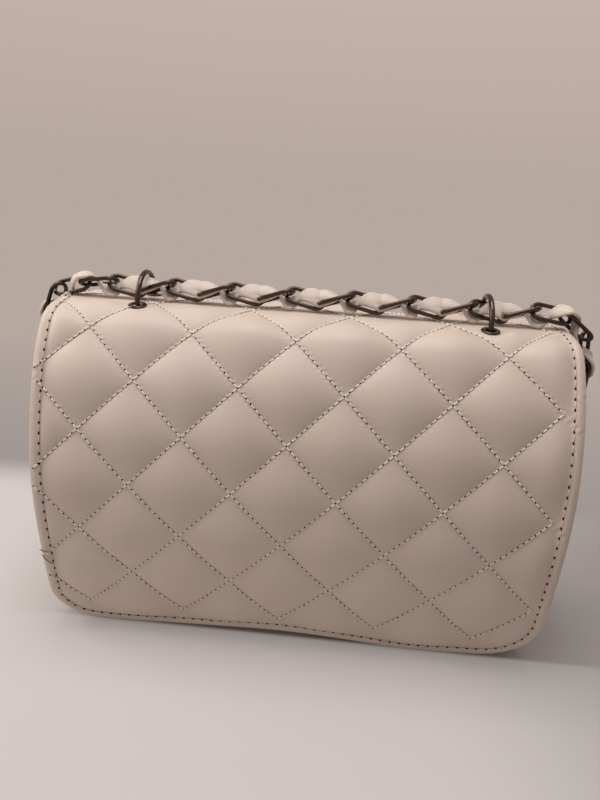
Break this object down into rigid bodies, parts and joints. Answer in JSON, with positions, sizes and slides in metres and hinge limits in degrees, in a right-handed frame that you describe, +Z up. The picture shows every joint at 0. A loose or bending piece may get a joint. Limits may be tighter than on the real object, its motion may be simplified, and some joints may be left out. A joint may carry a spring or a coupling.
{
  "type": "quilted shoulder bag",
  "caption": "Quilted leather shoulder bag with a full-length flap, magnetic snap, ring eyelets and a chain strap laced with leather.",
  "frame": {"origin": "centre of the flat base, on the surface that the bag stands on", "axes": "+X to the right as seen from the front, -Y to the front flap, +Z up"},
  "size_m": [0.2592, 0.1198, 0.1586],
  "materials": {
    "quilted_leather": "matte-satin cream imitation leather, diamond quilted",
    "smooth_leather": "matte-satin cream imitation leather, smooth",
    "lining_cloth": "plain woven lining",
    "stiffener_board": "fibre board, hidden",
    "dark_nickel": "dark nickel plate, polished"
  },
  "bodies": {
    "bag": {"back_panel": "quilted_leather", "front_panel": "smooth_leather", "gusset": "smooth_leather", "top_facing": "smooth_leather", "strap_lace": "smooth_leather", "lining": "lining_cloth", "front_stiffener": "stiffener_board", "back_stiffener": "stiffener_board", "base_board": "stiffener_board", "snap_socket": "dark_nickel", "snap_socket_plate": "dark_nickel", "eyelet_front_left": "dark_nickel", "eyelet_front_right": "dark_nickel", "eyelet_rear_left": "dark_nickel", "eyelet_rear_right": "dark_nickel", "washer_front_left": "dark_nickel", "washer_front_right": "dark_nickel", "washer_rear_left": "dark_nickel", "washer_rear_right": "dark_nickel", "link_01": "dark_nickel", "link_02": "dark_nickel", "link_03": "dark_nickel", "link_04": "dark_nickel", "link_05": "dark_nickel", "link_06": "dark_nickel", "link_07": "dark_nickel", "link_08": "dark_nickel", "link_09": "dark_nickel", "link_10": "dark_nickel", "link_11": "dark_nickel", "link_12": "dark_nickel", "link_13": "dark_nickel", "link_14": "dark_nickel", "link_15": "dark_nickel", "link_16": "dark_nickel", "link_17": "dark_nickel", "link_18": "dark_nickel", "link_19": "dark_nickel", "link_20": "dark_nickel", "chain_fall_right": "dark_nickel", "chain_floor_right": "dark_nickel", "chain_floor_left": "dark_nickel", "chain_fall_left": "dark_nickel"},
    "flap": {"flap_panel": "quilted_leather", "flap_lining": "smooth_leather", "snap_stud": "dark_nickel", "snap_stud_plate": "dark_nickel"},
    "ring_left": {"ring_left": "dark_nickel"},
    "ring_right": {"ring_right": "dark_nickel"}
  },
  "joints": [
    {"name": "flap_hinge", "type": "hinge", "parent": "bag", "child": "flap", "pos_m": [0, -0.00437, 0.14278], "axis": [-1, 0, 0], "range_deg": [0, 140]},
    {"name": "ring_left_turn", "type": "hinge", "parent": "bag", "child": "ring_left", "pos_m": [-0.075, 0.01681, 0.14494], "axis": [1, 0, 0], "continuous": true},
    {"name": "ring_right_turn", "type": "hinge", "parent": "bag", "child": "ring_right", "pos_m": [0.075, 0.01681, 0.14494], "axis": [1, 0, 0], "continuous": true}
  ]
}
